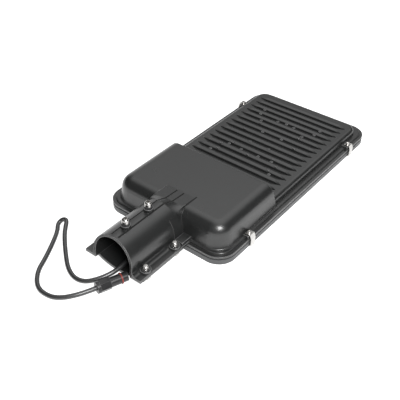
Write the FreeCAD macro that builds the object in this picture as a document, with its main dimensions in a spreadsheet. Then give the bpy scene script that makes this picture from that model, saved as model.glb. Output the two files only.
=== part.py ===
"""Lamp head of a split solar street light.

A cast housing with a finned roof, a gear box and a pole socket lies on its lens
frame.  X runs from the mouth of the pole socket to the far rim, Z points up, and
the origin is on the ground under the middle of the housing.  Millimetres.
"""

import FreeCAD
import Part
import math
import os
import re

import Sketcher

from FreeCAD import Placement, Rotation, Vector

SIZES = {
    # Rim outline, seen from above
    "body_length": 400.0,
    "body_width": 214.0,
    "corner_radius": 27.0,
    # Levels of the rim, from the ground up
    "frame_height": 7.4,
    "seam_gap": 2.6,
    "rim_thickness": 2.6,
    "step_inset": 5.0,
    "step_height": 2.4,
    "step_edge_radius": 1.6,
    # Gear box
    "box_inset": 9.0,
    "box_length": 139.3,
    "box_top": 51.0,
    "box_corner_radius": 26.0,
    "box_edge_radius": 18.0,
    "box_end_radius": 1.5,
    "box_foot_radius": 2.0,
    "box_draft": 8.3,
    "wall_draft": 5.0,
    # Finned roof over the light engine
    "fin_inset": 12.2,
    "fin_far_inset": 16.0,
    "fin_top": 26.0,
    "fin_corner_radius": 18.0,
    "fin_edge_radius": 6.0,
    "groove_pitch": 14.6,
    "groove_lip_width": 13.0,
    "groove_lip_depth": 1.2,
    "groove_width": 5.0,
    "groove_floor_width": 3.0,
    "groove_depth": 5.0,
    "groove_end_inset": 10.8,
    "groove_tip": 14.0,
    "groove_far_margin": 39.0,
    "groove_box_margin": 2.0,
    "pin_boss_diameter": 5.0,
    "pin_boss_height": 0.5,
    # Hollow inside
    "shell_wall": 3.0,
    "web_thickness": 4.0,
    "post_diameter": 9.0,
    "post_inset": 8.0,
    "chamber_inset_share": 0.87,
    "chamber_drop_share": 0.36,
    # Pole socket
    "socket_reach": 93.4,
    "socket_radius": 34.0,
    "socket_wall": 3.5,
    "socket_axis_height": 26.0,
    "socket_end_wall": 13.4,
    "mouth_rake": 6.5,
    "flange_half_width": 49.0,
    "flange_thickness": 4.0,
    "flange_fillet": 6.0,
    "cheek_setback": 9.4,
    "cheek_angle": 43.0,
    "ramp_setback": 2.4,
    "ramp_length": 17.6,
    "neck_run": 28.0,
    "neck_rise": 1.8,
    "neck_sink": 0.1,
    # Lines cast into the crest of the socket and the neck
    "crest_line_start": 9.5,
    "crest_line_length": 128.5,
    "crest_line_half": 5.9,
    "crest_line_width": 1.3,
    "crest_line_depth": 1.5,
    # Tabs that join the flanges to the gear box
    "tab_start": 84.0,
    "tab_rise": 3.0,
    "tab_inset": 2.0,
    # Set screws on the crest of the socket
    "set_screw_first": 29.9,
    "set_screw_spacing": 42.8,
    "set_boss_diameter": 13.0,
    "set_boss_height": 5.0,
    "set_nut_width": 10.0,
    "set_nut_height": 3.0,
    "set_shank_diameter": 6.0,
    "set_head_diameter": 10.0,
    "set_head_height": 7.0,
    "set_socket_width": 5.0,
    "set_socket_depth": 3.5,
    # Clamp under the socket
    "clamp_bolt_first": 18.8,
    "clamp_bolt_spacing": 56.6,
    "clamp_bolt_spread": 82.4,
    "clamp_boss_diameter": 15.0,
    "clamp_boss_height": 3.0,
    "clamp_shank_diameter": 7.6,
    "clamp_shank_rise": 6.8,
    "clamp_head_width": 11.0,
    "clamp_head_height": 4.0,
    "washer_diameter": 13.0,
    "washer_thickness": 1.0,
    "saddle_setback": 6.4,
    "saddle_back_gap": 8.0,
    "saddle_flange_thickness": 2.5,
    "saddle_inset": 1.0,
    "saddle_sag": 6.6,
    "saddle_wall": 3.5,
    # Rim clips and their screws
    "clip_near_inset": 65.0,
    "clip_far_inset": 63.0,
    "clip_width": 10.0,
    "clip_gauge": 1.6,
    "clip_stand_off": 1.2,
    "clip_hook": 7.0,
    "ear_width": 14.0,
    "ear_top": 17.5,
    "ear_inset": 1.0,
    "clip_screw_inset": 4.5,
    "clip_screw_shank": 4.0,
    "clip_screw_head": 7.0,
    "clip_screw_head_height": 2.6,
    "clip_screw_depth": 4.6,
    "clip_socket_width": 3.0,
    "clip_socket_depth": 1.6,
    # Lens frame, glass and gasket
    "frame_wall": 7.5,
    "frame_lip_height": 2.4,
    "window_inset": 16.0,
    "gasket_outer_inset": 3.0,
    "gasket_inner_inset": 13.0,
    # Light engine
    "board_margin": 6.0,
    "board_thickness": 1.6,
    "emitter_size": 5.0,
    "emitter_height": 1.2,
    "emitter_pitch_along": 15.0,
    "emitter_pitch_across": 22.0,
    "emitter_columns": 14,
    "emitter_rows": 7,
    "board_screw_inset": 8.0,
    "board_screw_shank": 3.0,
    "board_screw_head": 6.0,
    "board_screw_head_height": 1.8,
    "board_screw_depth": 3.0,
    # Gear tray with the battery and the charge controller
    "tray_level": 13.6,
    "tray_gauge": 1.2,
    "battery_height": 26.0,
    "controller_height": 22.0,
    "gear_gap": 8.0,
    "gear_post_gap": 3.0,
    "tray_screw_shank": 3.5,
    "tray_screw_head": 7.0,
    "tray_screw_head_height": 2.0,
    "tray_screw_depth": 8.0,
    # Lead, its gland and the connector
    "cable_diameter": 6.4,
    "gland_axis_height": 18.6,
    "gland_diameter": 11.0,
    "gland_length": 9.0,
    "gland_nose_diameter": 8.6,
    "gland_nose_length": 5.0,
    "gland_tail_diameter": 8.0,
    "passage_diameter": 8.6,
    "tail_ring_diameter": 16.0,
    "tail_ring_length": 4.5,
    "coupling_nut_width": 15.0,
    "coupling_nut_length": 14.0,
    "shell_diameter": 13.4,
    "shell_length": 14.5,
    "seal_diameter": 15.2,
    "seal_length": 1.6,
    "mating_end_diameter": 13.0,
    "mating_end_length": 7.8,
    "mating_bore_diameter": 8.6,
    "mating_bore_depth": 6.0,
    "contact_diameter": 1.6,
    "contact_spread": 2.4,
    "contact_length": 4.5,
    # Clearances
    "running_gap": 0.5,
    "screw_gap": 0.2,
}

DERIVED = {
    "half_width": "body_width / 2",
    "near_edge": "socket_reach",
    "far_edge": "socket_reach + body_length",
    "half_length": "far_edge / 2",
    "rim_bottom": "frame_height + seam_gap",
    "rim_top": "rim_bottom + rim_thickness",
    "step_top": "rim_top + step_height",
    "step_low": "near_edge + step_inset",
    "step_high": "far_edge - step_inset",
    "step_half": "half_width - step_inset",
    "step_radius": "corner_radius - step_inset",
    "box_low": "near_edge + box_inset",
    "box_high": "near_edge + box_length",
    "box_half": "half_width - box_inset",
    "fin_low": "box_high - 2 * box_edge_radius",
    "fin_high": "far_edge - fin_far_inset",
    "fin_half": "half_width - fin_inset",
    "groove_floor": "fin_top - groove_depth",
    "groove_edge": "fin_top - groove_lip_depth",
    "light_seat": "groove_floor - web_thickness",
    "bay_low": "box_low + shell_wall",
    "bay_high": "fin_high - shell_wall",
    "bay_half": "fin_half - shell_wall",
    "bay_near_radius": "box_corner_radius - shell_wall",
    "bay_far_radius": "fin_corner_radius - shell_wall",
    "chamber_inset": "chamber_inset_share * box_edge_radius",
    "chamber_low": "box_low + chamber_inset",
    "chamber_high": "box_high - chamber_inset",
    "chamber_half": "box_half - chamber_inset",
    "chamber_top": "box_top - chamber_drop_share * box_edge_radius",
    "post_low": "chamber_low + post_inset",
    "post_high": "chamber_high - post_inset",
    "post_half": "chamber_half - post_inset",
    "flange_top": "rim_top + flange_thickness",
    "bore_radius": "socket_radius - socket_wall",
    "bore_end": "near_edge - socket_end_wall",
    "crest": "socket_axis_height + socket_radius",
    "cheek_low": "near_edge - cheek_setback",
    "ramp_low": "near_edge + ramp_setback",
    "ramp_high": "ramp_low + ramp_length",
    "shoulder_half": "socket_radius * cos(cheek_angle)",
    "shoulder_level": "socket_axis_height + socket_radius * sin(cheek_angle)",
    "cheek_slope": "(socket_radius - shoulder_half) / (shoulder_level - rim_top)",
    "cheek_foot": "socket_radius - cheek_slope * flange_thickness",
    "cheek_outer": "socket_radius + flange_fillet + running_gap",
    "neck_top": "box_top + neck_rise",
    "neck_half": "socket_radius - cheek_slope * (neck_top - rim_top)",
    "neck_end": "ramp_high + neck_run",
    "neck_end_top": "box_top - neck_sink",
    "neck_end_half": "socket_radius - cheek_slope * (neck_end_top - rim_top)",
    "crest_line_end": "crest_line_start + crest_line_length",
    "tab_half": "flange_half_width - tab_inset",
    "set_boss_top": "crest + set_boss_height",
    "clamp_boss_top": "flange_top + clamp_boss_height",
    "bolt_half": "clamp_bolt_spread / 2",
    "saddle_low": "saddle_setback",
    "saddle_half": "flange_half_width - saddle_inset",
    "saddle_high": "near_edge - saddle_back_gap",
    "saddle_flange_bottom": "rim_top - saddle_flange_thickness",
    "clip_near": "near_edge + clip_near_inset",
    "clip_far": "far_edge - clip_far_inset",
    "ear_half": "half_width - ear_inset",
    "clip_screw_half": "half_width - clip_screw_inset",
    "window_low": "near_edge + window_inset",
    "window_high": "far_edge - window_inset",
    "window_half": "half_width - window_inset",
    "window_radius": "corner_radius - window_inset",
    "seat_low": "near_edge + frame_wall",
    "seat_high": "far_edge - frame_wall",
    "seat_half": "half_width - frame_wall",
    "seat_radius": "corner_radius - frame_wall",
    "glass_low": "seat_low + running_gap",
    "glass_high": "seat_high - running_gap",
    "glass_half": "seat_half - running_gap",
    "glass_radius": "seat_radius - running_gap",
    "glass_thickness": "frame_height - frame_lip_height",
    "gasket_low": "near_edge + gasket_outer_inset",
    "gasket_high": "far_edge - gasket_outer_inset",
    "gasket_half": "half_width - gasket_outer_inset",
    "gasket_radius": "corner_radius - gasket_outer_inset",
    "gasket_inner_low": "near_edge + gasket_inner_inset",
    "gasket_inner_high": "far_edge - gasket_inner_inset",
    "gasket_inner_half": "half_width - gasket_inner_inset",
    "gasket_inner_radius": "corner_radius - gasket_inner_inset",
    "board_low": "box_high + board_margin",
    "board_high": "bay_high - board_margin",
    "board_half": "bay_half - board_margin",
    "board_bottom": "light_seat - board_thickness",
    "board_radius": "bay_far_radius - board_margin",
    "tray_top": "tray_level + tray_gauge",
    "tray_low": "bay_low + running_gap",
    "tray_high": "box_high - running_gap",
    "tray_half": "bay_half - running_gap",
    "tray_radius": "bay_near_radius - running_gap",
    "gear_half": "post_half - post_diameter / 2 - gear_post_gap",
    "gear_low": "chamber_low + gear_post_gap",
    "gear_high": "chamber_high - gear_post_gap",
    "ring_end": "tail_ring_length",
    "nut_end": "ring_end + coupling_nut_length",
    "shell_end": "nut_end + shell_length",
    "seal_end": "shell_end + seal_length",
    "connector_length": "seal_end + mating_end_length",
}

# Pin bosses on the roof, the same on both sides: distance from the far rim and from the middle
PIN_BOSSES = (
    (69.0, 54.0), (84.0, 52.0), (101.0, 39.5), (106.5, 37.0), (87.0, 15.5), (85.0, 0.0), (128.0, 18.0),
    (136.0, 47.0), (163.0, 17.5), (181.0, 39.0), (189.0, 40.0), (190.0, 16.0), (194.0, 0.0), (194.0, 52.0),
    (208.0, 47.5), (218.0, 55.0),
)

# Route of the lead, from the gland to the back of the connector
CABLE_ROUTE = (
    (66.0, 0.0, 18.6), (52.0, 0.0, 18.6), (34.0, -4.5, 15.6), (15.0, -8.4, 12.4),
    (-8.0, -5.6, 9.8), (-25.0, 4.4, 6.6), (-35.8, 15.6, 4.2), (-38.8, 30.5, 3.5),
    (-32.6, 49.0, 3.5), (-18.9, 68.3, 3.5), (0.6, 92.2, 4.8), (13.8, 105.8, 7.4),
    (28.1, 116.0, 11.5), (27.4, 125.2, 8.6), (19.4, 127.3, 3.8), (9.7, 116.9, 3.5),
    (-8.6, 104.5, 3.5), (-37.1, 88.1, 3.5), (-61.3, 76.6, 3.5), (-80.2, 55.0, 3.5),
    (-80.6, 31.5, 3.8), (-73.6, 16.4, 5.6), (-60.8, 4.6, 7.5), (-46.67, -3.26, 8.1),
    (-36.4, -7.2, 8.1),
)
CONNECTOR_HEADING = -21.0

doc = FreeCAD.newDocument("LampHead")
sub_parts = []


def fill_sheet(name, cells):
    """Make a sheet with one named cell for each size."""
    sheet = doc.addObject("Spreadsheet::Sheet", name)
    for row, (alias, content) in enumerate(cells.items(), 1):
        sheet.set(f"A{row}", alias)
        sheet.set(f"B{row}", content)
        sheet.setAlias(f"B{row}", alias)
    doc.recompute()
    return sheet


def qualified(text, sheets):
    """Write the sheet's name before each size in a formula."""
    return re.sub(r"[a-z][a-z_]+", lambda word: sheets.get(word.group(), "") + word.group(), text)


SIZE_SHEET = {alias: "Sizes." for alias in SIZES}
ALL_SHEETS = dict(SIZE_SHEET, **{alias: "Derived." for alias in DERIVED})
fill_sheet("Sizes", {alias: str(size) for alias, size in SIZES.items()})
fill_sheet("Derived", {alias: "=" + qualified(text, SIZE_SHEET) for alias, text in DERIVED.items()})
abacus = doc.addObject("Spreadsheet::Sheet", "Abacus")


def value(text):
    """Give the number that a formula of sizes stands for."""
    abacus.set("A1", "=0 + " + qualified(str(text), ALL_SHEETS))
    abacus.recompute()
    return float(abacus.get("A1"))


def bind(item, path, text):
    """Tie a property to a formula of sizes."""
    item.setExpression(path, qualified(str(text), ALL_SHEETS))


def new_body(label):
    """Start a sub-part, placed so that the origin is under the middle of the housing."""
    body = doc.addObject("PartDesign::Body", label)
    body.Label = label
    bind(body, "Placement.Base.x", "-half_length")
    return body


def new_sketch(body, name, role, offset="0"):
    """Start a sketch on one of the body's own planes, moved along its normal."""
    sketch = body.newObject("Sketcher::SketchObject", name)
    sketch.AttachmentSupport = [(next(p for p in body.Origin.OriginFeatures if p.Role == role), "")]
    sketch.MapMode = "FlatFace"
    bind(sketch, "AttachmentOffset.Base.z", offset)
    return sketch


def pin_point(sketch, element, end, across, up):
    """Tie one end of a sketch element to two formulas."""
    for kind, axis, text in (("DistanceX", -2, across), ("DistanceY", -1, up)):
        size = value(text)
        if abs(size) < 1e-9:
            sketch.addConstraint(Sketcher.Constraint("PointOnObject", element, end, axis))
            continue
        ends = (-1, 1, element, end) if size > 0 else (element, end, -1, 1)
        index = sketch.addConstraint(Sketcher.Constraint(kind, *ends, abs(size)))
        bind(sketch, f"Constraints[{index}]", text if size > 0 else f"-({text})")


def profile(sketch, start, *steps):
    """Draw a closed outline: a step of one point is a line, of two points an arc through the first."""
    points = [start] + [step[-1] for step in steps]
    places = [Vector(value(across), value(up), 0) for across, up in points]
    first = sketch.GeometryCount
    for index, step in enumerate(steps):
        if len(step) == 1:
            element = Part.LineSegment(places[index], places[index + 1])
        else:
            middle = Vector(value(step[0][0]), value(step[0][1]), 0)
            ends = [places[index], places[index + 1]]
            if (middle - ends[0]).cross(ends[1] - middle).z < 0:
                ends.reverse()
            element = Part.Arc(ends[0], middle, ends[1])
        sketch.addGeometry(element, False)
    closing = points[-1] != start
    if closing:
        sketch.addGeometry(Part.LineSegment(places[-1], places[0]), False)
    count = len(steps) + closing
    for index in range(count):
        element = sketch.Geometry[first + index]
        following = sketch.Geometry[first + (index + 1) % count]
        end = 2 if same_place(element.EndPoint, places[(index + 1) % len(places)]) else 1
        start_end = 1 if same_place(following.StartPoint, places[(index + 1) % len(places)]) else 2
        joint = (first + index, end, first + (index + 1) % count, start_end)
        sketch.addConstraint(Sketcher.Constraint("Coincident", *joint))
        pin_point(sketch, first + index, end, *points[(index + 1) % len(points)])


def same_place(one, other):
    """Say whether two points coincide."""
    return one.distanceToPoint(other) < 1e-6


def outline(sketch, low, high, half, near_radius=None, far_radius=None):
    """Draw a rectangle about the X axis, with round corners at the near and the far end."""
    x_low, x_high, y_half = value(low), value(high), value(half)
    near = value(near_radius) if near_radius else 0.0
    far = value(far_radius) if far_radius else 0.0
    corners = (
        (x_high, -1, far, -90), (x_high, 1, far, 0), (x_low, 1, near, 90), (x_low, -1, near, 180),
    )
    sides = (
        ((x_low + near, -y_half), (x_high - far, -y_half)),
        ((x_high, far - y_half), (x_high, y_half - far)),
        ((x_high - far, y_half), (x_low + near, y_half)),
        ((x_low, y_half - near), (x_low, near - y_half)),
    )
    chain = []
    first_arc = {}
    for (start, stop), (x_corner, side, radius, angle) in zip(sides, corners):
        line = Part.LineSegment(Vector(*start, 0), Vector(*stop, 0))
        chain.append((sketch.addGeometry(line, False), False))
        if radius > 0:
            inward = -radius if x_corner == x_high else radius
            centre = Vector(x_corner + inward, side * (y_half - radius), 0)
            circle = Part.Circle(centre, Vector(0, 0, 1), radius)
            arc = Part.ArcOfCircle(circle, math.radians(angle), math.radians(angle + 90))
            chain.append((sketch.addGeometry(arc, False), True))
            size = far_radius if x_corner == x_high else near_radius
            if size in first_arc:
                sketch.addConstraint(Sketcher.Constraint("Equal", first_arc[size], chain[-1][0]))
            else:
                first_arc[size] = chain[-1][0]
                index = sketch.addConstraint(Sketcher.Constraint("Radius", chain[-1][0], radius))
                bind(sketch, f"Constraints[{index}]", size)
    for (one, one_arc), (other, other_arc) in zip(chain, chain[1:] + chain[:1]):
        kind = "Tangent" if one_arc or other_arc else "Coincident"
        sketch.addConstraint(Sketcher.Constraint(kind, one, 2, other, 1))
    lines = [element for element, is_arc in chain if not is_arc]
    for line, direction in zip(lines, ("Horizontal", "Vertical", "Horizontal", "Vertical")):
        sketch.addConstraint(Sketcher.Constraint(direction, line))
    distances = (
        ("DistanceY", lines[0], 1, -1, 1, half), ("DistanceX", -1, 1, lines[1], 1, high),
        ("DistanceY", -1, 1, lines[2], 1, half), ("DistanceX", -1, 1, lines[3], 1, low),
    )
    for kind, *ends, text in distances:
        index = sketch.addConstraint(Sketcher.Constraint(kind, *ends, value(text)))
        bind(sketch, f"Constraints[{index}]", text)


def circles(sketch, diameter, places):
    """Draw equal circles at places given as pairs of formulas."""
    for across, up in places:
        centre = Vector(value(across), value(up), 0)
        circle = sketch.addGeometry(Part.Circle(centre, Vector(0, 0, 1), value(diameter) / 2), False)
        index = sketch.addConstraint(Sketcher.Constraint("Diameter", circle, value(diameter)))
        bind(sketch, f"Constraints[{index}]", diameter)
        pin_point(sketch, circle, 3, across, up)


def hexagon(sketch, width):
    """Draw a regular hexagon about the sketch's origin, with the given width across flats."""
    corners = [
        (f"{width} / 2 / cos(30) * cos({angle})", f"{width} / 2 / cos(30) * sin({angle})")
        for angle in range(0, 360, 60)
    ]
    profile(sketch, corners[0], *[[corner] for corner in corners[1:]])


def settle(feature):
    """Recompute the document and make sure that a feature came out."""
    doc.recompute()
    if "Invalid" in feature.State or "Error" in feature.State or feature.Shape.isNull():
        raise RuntimeError(f"{feature.Name} failed: {feature.State}")
    return feature


def add(body, sketch, length, draft=None, back=False, symmetric=False):
    """Raise a sketch into a solid."""
    pad = body.newObject("PartDesign::Pad", sketch.Name + "_pad")
    pad.Profile = sketch
    bind(pad, "Length", length)
    pad.Reversed = back
    if draft:
        bind(pad, "TaperAngle", draft)
    if symmetric:
        pad.SideType = "Symmetric"
    return settle(pad)


def cut(body, sketch, length, ahead=False, symmetric=False):
    """Sink a sketch into the solid, and make sure that it removes something."""
    before = body.Shape.Volume
    pocket = body.newObject("PartDesign::Pocket", sketch.Name + "_cut")
    pocket.Profile = sketch
    bind(pocket, "Length", length)
    pocket.Reversed = ahead
    if symmetric:
        pocket.SideType = "Symmetric"
    settle(pocket)
    if body.Shape.Volume > before - 1e-3:
        raise RuntimeError(f"{pocket.Name} removes nothing")
    return pocket


def round_edges(body, name, radius, wanted):
    """Round the edges of the solid that a test picks."""
    base = body.Tip
    names = [f"Edge{index}" for index, edge in enumerate(base.Shape.Edges, 1) if wanted(edge.BoundBox)]
    fillet = body.newObject("PartDesign::Fillet", name)
    fillet.Base = (base, names)
    bind(fillet, "Radius", radius)
    settle(fillet)


def turn(body, sketch, axis="V_Axis"):
    """Revolve a sketch about one of its axes."""
    solid = body.newObject("PartDesign::Revolution", sketch.Name + "_turned")
    solid.Profile = sketch
    solid.ReferenceAxis = (sketch, [axis])
    solid.Angle = 360
    return settle(solid)


def master(label):
    """Start a pattern piece that stands on the origin and isn't written out itself."""
    body = doc.addObject("PartDesign::Body", label)
    body.Label = label
    return body


def repeat(label, pattern, places):
    """Set copies of a pattern piece at several places, as one sub-part of separate solids."""
    doc.recompute()
    solids = []
    for across, along, up in places:
        solid = pattern.Shape.copy()
        solid.translate(Vector(value(across), value(along), value(up)))
        solids.append(solid)
    group = doc.addObject("Part::Feature", label)
    group.Label = label
    group.Shape = Part.makeCompound(solids)
    group.Placement = Placement(Vector(-value("half_length"), 0, 0), Rotation())
    sub_parts.append(group)


def at_corners(low, high, half):
    """Give the four corners of a rectangle about the X axis as pairs of formulas."""
    return [(x, y) for x in (low, high) for y in (half, f"-{half}")]


# Sag of a quarter arc's middle from its tangents' corner, as a share of the radius
ARC_SAG = "(1 - cos(45))"
SET_SCREWS = [("set_screw_first", "0"), ("set_screw_first + set_screw_spacing", "0")]
CLAMP_BOLTS = at_corners("clamp_bolt_first", "(clamp_bolt_first + clamp_bolt_spacing)", "bolt_half")
CLIP_SCREWS = at_corners("clip_near", "clip_far", "clip_screw_half")
TRAY_POSTS = at_corners("post_low", "post_high", "post_half")
BOARD_SCREWS = at_corners(
    "(board_low + board_screw_inset)", "(board_high - board_screw_inset)",
    "(board_half - board_screw_inset)",
)


def groove_places():
    """Give the distance of each cooling groove from the socket's mouth, the far one first."""
    run = value("far_edge - groove_far_margin - box_high - groove_box_margin")
    count = int(run / value("groove_pitch")) + 1
    return [f"far_edge - groove_far_margin - {index} * groove_pitch" for index in range(count)]


def build_housing():
    """Cast housing: rim, gear box, finned roof, pole socket, and the hollow inside."""
    body = new_body("back_housing")

    rim = new_sketch(body, "rim", "XY_Plane", "rim_bottom")
    outline(rim, "near_edge", "far_edge", "half_width", "corner_radius", "corner_radius")
    add(body, rim, "rim_thickness")

    step = new_sketch(body, "step", "XY_Plane", "rim_top")
    outline(step, "step_low", "step_high", "step_half", "step_radius", "step_radius")
    add(body, step, "step_height")
    shelf = value("step_top")
    round_edges(
        body, "step_edges", "step_edge_radius",
        lambda box: abs(box.ZMin - shelf) < 0.01 and abs(box.ZMax - shelf) < 0.01,
    )

    # The gear box ends in a plain wall above the roof, so only its other edges are rounded
    box = new_sketch(body, "box", "XY_Plane", "step_top")
    outline(box, "box_low", "box_high", "box_half", near_radius="box_corner_radius")
    add(body, box, "box_top - step_top", draft="-box_draft")
    top = value("box_top")
    box_end = value("box_high") - value("box_edge_radius")
    round_edges(
        body, "box_edges", "box_edge_radius",
        lambda box: abs(box.ZMin - top) < 0.01 and abs(box.ZMax - top) < 0.01 and box.XMin < box_end,
    )
    end_low = value("box_high - (box_top - step_top) * tan(box_draft)") - 0.01
    roof_level = value("fin_top")
    round_edges(
        body, "box_end", "box_end_radius",
        lambda box: box.XMin > end_low and box.ZMax > roof_level,
    )
    foot_low = value("box_low") - 0.01
    foot_half = value("box_half") + 0.01
    foot_end = value("box_high") - 1.0
    round_edges(
        body, "box_foot", "box_foot_radius",
        lambda box: abs(box.ZMin - shelf) < 0.01 and abs(box.ZMax - shelf) < 0.01 and box.XMin > foot_low
        and box.XMin < foot_end and max(box.YMax, -box.YMin) < foot_half,
    )

    roof = new_sketch(body, "roof", "XY_Plane", "step_top")
    outline(roof, "fin_low", "fin_high", "fin_half", far_radius="fin_corner_radius")
    add(body, roof, "fin_top - step_top", draft="-wall_draft")
    roof_top = value("fin_top")
    roof_start = value("box_high")
    round_edges(
        body, "roof_edges", "fin_edge_radius",
        lambda box: abs(box.ZMin - roof_top) < 0.01 and abs(box.ZMax - roof_top) < 0.01
        and box.XMax > roof_start,
    )

    build_socket(body)
    build_ears(body)
    cut_grooves(body)
    cut_hollow(body)
    sub_parts.append(body)


def build_socket(body):
    """Pole socket: flanged half-round tube, ramp to the box, bosses, bore and raked mouth."""
    tube = new_sketch(body, "tube", "YZ_Plane")
    flare_low = ("socket_radius + flange_fillet", "flange_top")
    flare_high = ("socket_radius", "flange_top + flange_fillet")
    bend = (f"socket_radius + {ARC_SAG} * flange_fillet", f"flange_top + {ARC_SAG} * flange_fillet")
    mirrored = [(f"-({across})", up) for across, up in (flare_high, bend, flare_low)]
    profile(
        tube, ("flange_half_width", "rim_top"),
        [("flange_half_width", "flange_top")],
        [flare_low],
        [bend, flare_high],
        [("socket_radius", "socket_axis_height")],
        [("0", "crest"), ("-socket_radius", "socket_axis_height")],
        [mirrored[0]],
        [mirrored[1], mirrored[2]],
        [("-flange_half_width", "flange_top")],
        [("-flange_half_width", "rim_top")],
    )
    add(body, tube, "ramp_low")

    cheeks = new_sketch(body, "cheeks", "YZ_Plane", "cheek_low")
    for side in ("", "-"):
        profile(
            cheeks, (f"{side}cheek_foot", "flange_top"),
            [(f"{side}shoulder_half", "shoulder_level")],
            [(f"{side}cheek_outer", "shoulder_level")],
            [(f"{side}cheek_outer", "flange_top")],
        )
    cut(body, cheeks, "ramp_low - cheek_low", ahead=True)

    ramp = new_sketch(body, "ramp_start", "YZ_Plane", "ramp_low")
    profile(
        ramp, ("socket_radius", "rim_top"),
        [("shoulder_half", "shoulder_level")],
        [("0", "crest"), ("-shoulder_half", "shoulder_level")],
        [("-socket_radius", "rim_top")],
    )
    sections = []
    stations = (
        ("ramp_high", "neck_half", "neck_top"), ("neck_end", "neck_end_half", "neck_end_top"),
    )
    for place, half, level in stations:
        section = new_sketch(body, f"neck_at_{place}", "YZ_Plane", place)
        profile(
            section, ("socket_radius", "rim_top"),
            [(half, level)],
            [(f"-{half}", level)],
            [("-socket_radius", "rim_top")],
        )
        sections.append(section)
    loft = body.newObject("PartDesign::AdditiveLoft", "ramp")
    loft.Profile = ramp
    loft.Sections = sections
    loft.Ruled = True
    settle(loft)

    for side in ("", "-"):
        name = "crest_line_left" if side else "crest_line_right"
        line = new_sketch(body, name, "XZ_Plane", f"{side}crest_line_half")
        profile(
            line, ("crest_line_start", "crest - crest_line_depth"),
            [("ramp_low", "crest - crest_line_depth")],
            [("ramp_high", "neck_top - crest_line_depth")],
            [("crest_line_end", "box_top - crest_line_depth")],
            [("crest_line_end", "crest + running_gap")],
            [("crest_line_start", "crest + running_gap")],
        )
        cut(body, line, "crest_line_width", symmetric=True)

    tabs = new_sketch(body, "tabs", "XY_Plane", "rim_top")
    for side in ("", "-"):
        inner = f"{side}socket_radius"
        outer = f"{side}tab_half"
        end = "box_low + shell_wall / 2"
        profile(tabs, ("tab_start", inner), [(end, inner)], [(end, outer)], [("tab_start", outer)])
    add(body, tabs, "flange_thickness + tab_rise")

    set_boss = new_sketch(body, "set_boss", "XY_Plane", "crest - socket_wall + screw_gap")
    circles(set_boss, "set_boss_diameter", SET_SCREWS)
    add(body, set_boss, "set_boss_height + socket_wall - screw_gap")

    clamp_boss = new_sketch(body, "clamp_boss", "XY_Plane", "rim_top")
    circles(clamp_boss, "clamp_boss_diameter", CLAMP_BOLTS)
    add(body, clamp_boss, "flange_thickness + clamp_boss_height")

    bore = new_sketch(body, "bore", "YZ_Plane")
    profile(
        bore, ("bore_radius", "rim_top - running_gap"),
        [("bore_radius", "socket_axis_height")],
        [("0", "socket_axis_height + bore_radius"), ("-bore_radius", "socket_axis_height")],
        [("-bore_radius", "rim_top - running_gap")],
    )
    cut(body, bore, "bore_end", ahead=True)

    rake = new_sketch(body, "rake", "XZ_Plane")
    profile(
        rake, ("0", "flange_top"),
        [("mouth_rake", "crest + running_gap")],
        [("0", "crest + running_gap")],
    )
    cut(body, rake, "2 * flange_half_width", symmetric=True)

    set_hole = new_sketch(body, "set_hole", "XY_Plane", "set_boss_top")
    circles(set_hole, "set_shank_diameter + 2 * screw_gap", SET_SCREWS)
    cut(body, set_hole, "set_boss_height + 2 * socket_wall")

    clamp_hole = new_sketch(body, "clamp_hole", "XY_Plane", "clamp_boss_top")
    circles(clamp_hole, "clamp_shank_diameter + 2 * screw_gap", CLAMP_BOLTS)
    cut(body, clamp_hole, "clamp_boss_height + flange_thickness")


def build_ears(body):
    """Ears on the rim that carry the clips, with their screw holes."""
    ears = new_sketch(body, "ears", "XY_Plane", "rim_top")
    for along in ("clip_near", "clip_far"):
        low = f"{along} - ear_width / 2"
        high = f"{along} + ear_width / 2"
        for side in ("", "-"):
            inner = f"{side}bay_half"
            outer = f"{side}ear_half"
            profile(ears, (low, inner), [(high, inner)], [(high, outer)], [(low, outer)])
    add(body, ears, "ear_top - rim_top")
    holes = new_sketch(body, "ear_holes", "XY_Plane", "ear_top")
    circles(holes, "clip_screw_shank + 2 * screw_gap", CLIP_SCREWS)
    cut(body, holes, "clip_screw_depth")


def cut_grooves(body):
    """Cooling grooves across the roof, pointed at both ends, and the pin bosses on the ribs between."""
    grooves = groove_places()
    for index, along in enumerate(grooves):
        sections = []
        levels = (
            ("fin_top", "groove_lip_width"), ("groove_edge", "groove_width"),
            ("groove_floor", "groove_floor_width"),
        )
        for level, width in levels:
            sketch = new_sketch(body, f"groove_{index}_{level}", "XY_Plane", level)
            end = "(fin_half - groove_end_inset)"
            shoulder = "(fin_half - groove_end_inset - groove_tip)"
            low = f"{along} - {width} / 2"
            high = f"{along} + {width} / 2"
            profile(
                sketch, (along, f"-{end}"),
                [(high, f"-{shoulder}")], [(high, shoulder)],
                [(along, end)],
                [(low, shoulder)], [(low, f"-{shoulder}")],
            )
            sections.append(sketch)
        groove = body.newObject("PartDesign::SubtractiveLoft", f"groove_{index}")
        groove.Profile = sections[0]
        groove.Sections = sections[1:]
        groove.Ruled = True
    settle(groove)
    bosses = new_sketch(body, "pin_bosses", "XY_Plane", "groove_floor - pin_boss_height")
    places = [(f"far_edge - {back}", str(across)) for back, across in PIN_BOSSES]
    places += [(f"far_edge - {back}", str(-across)) for back, across in PIN_BOSSES if across]
    circles(bosses, "pin_boss_diameter", places)
    add(body, bosses, "groove_depth + 2 * pin_boss_height")


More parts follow.
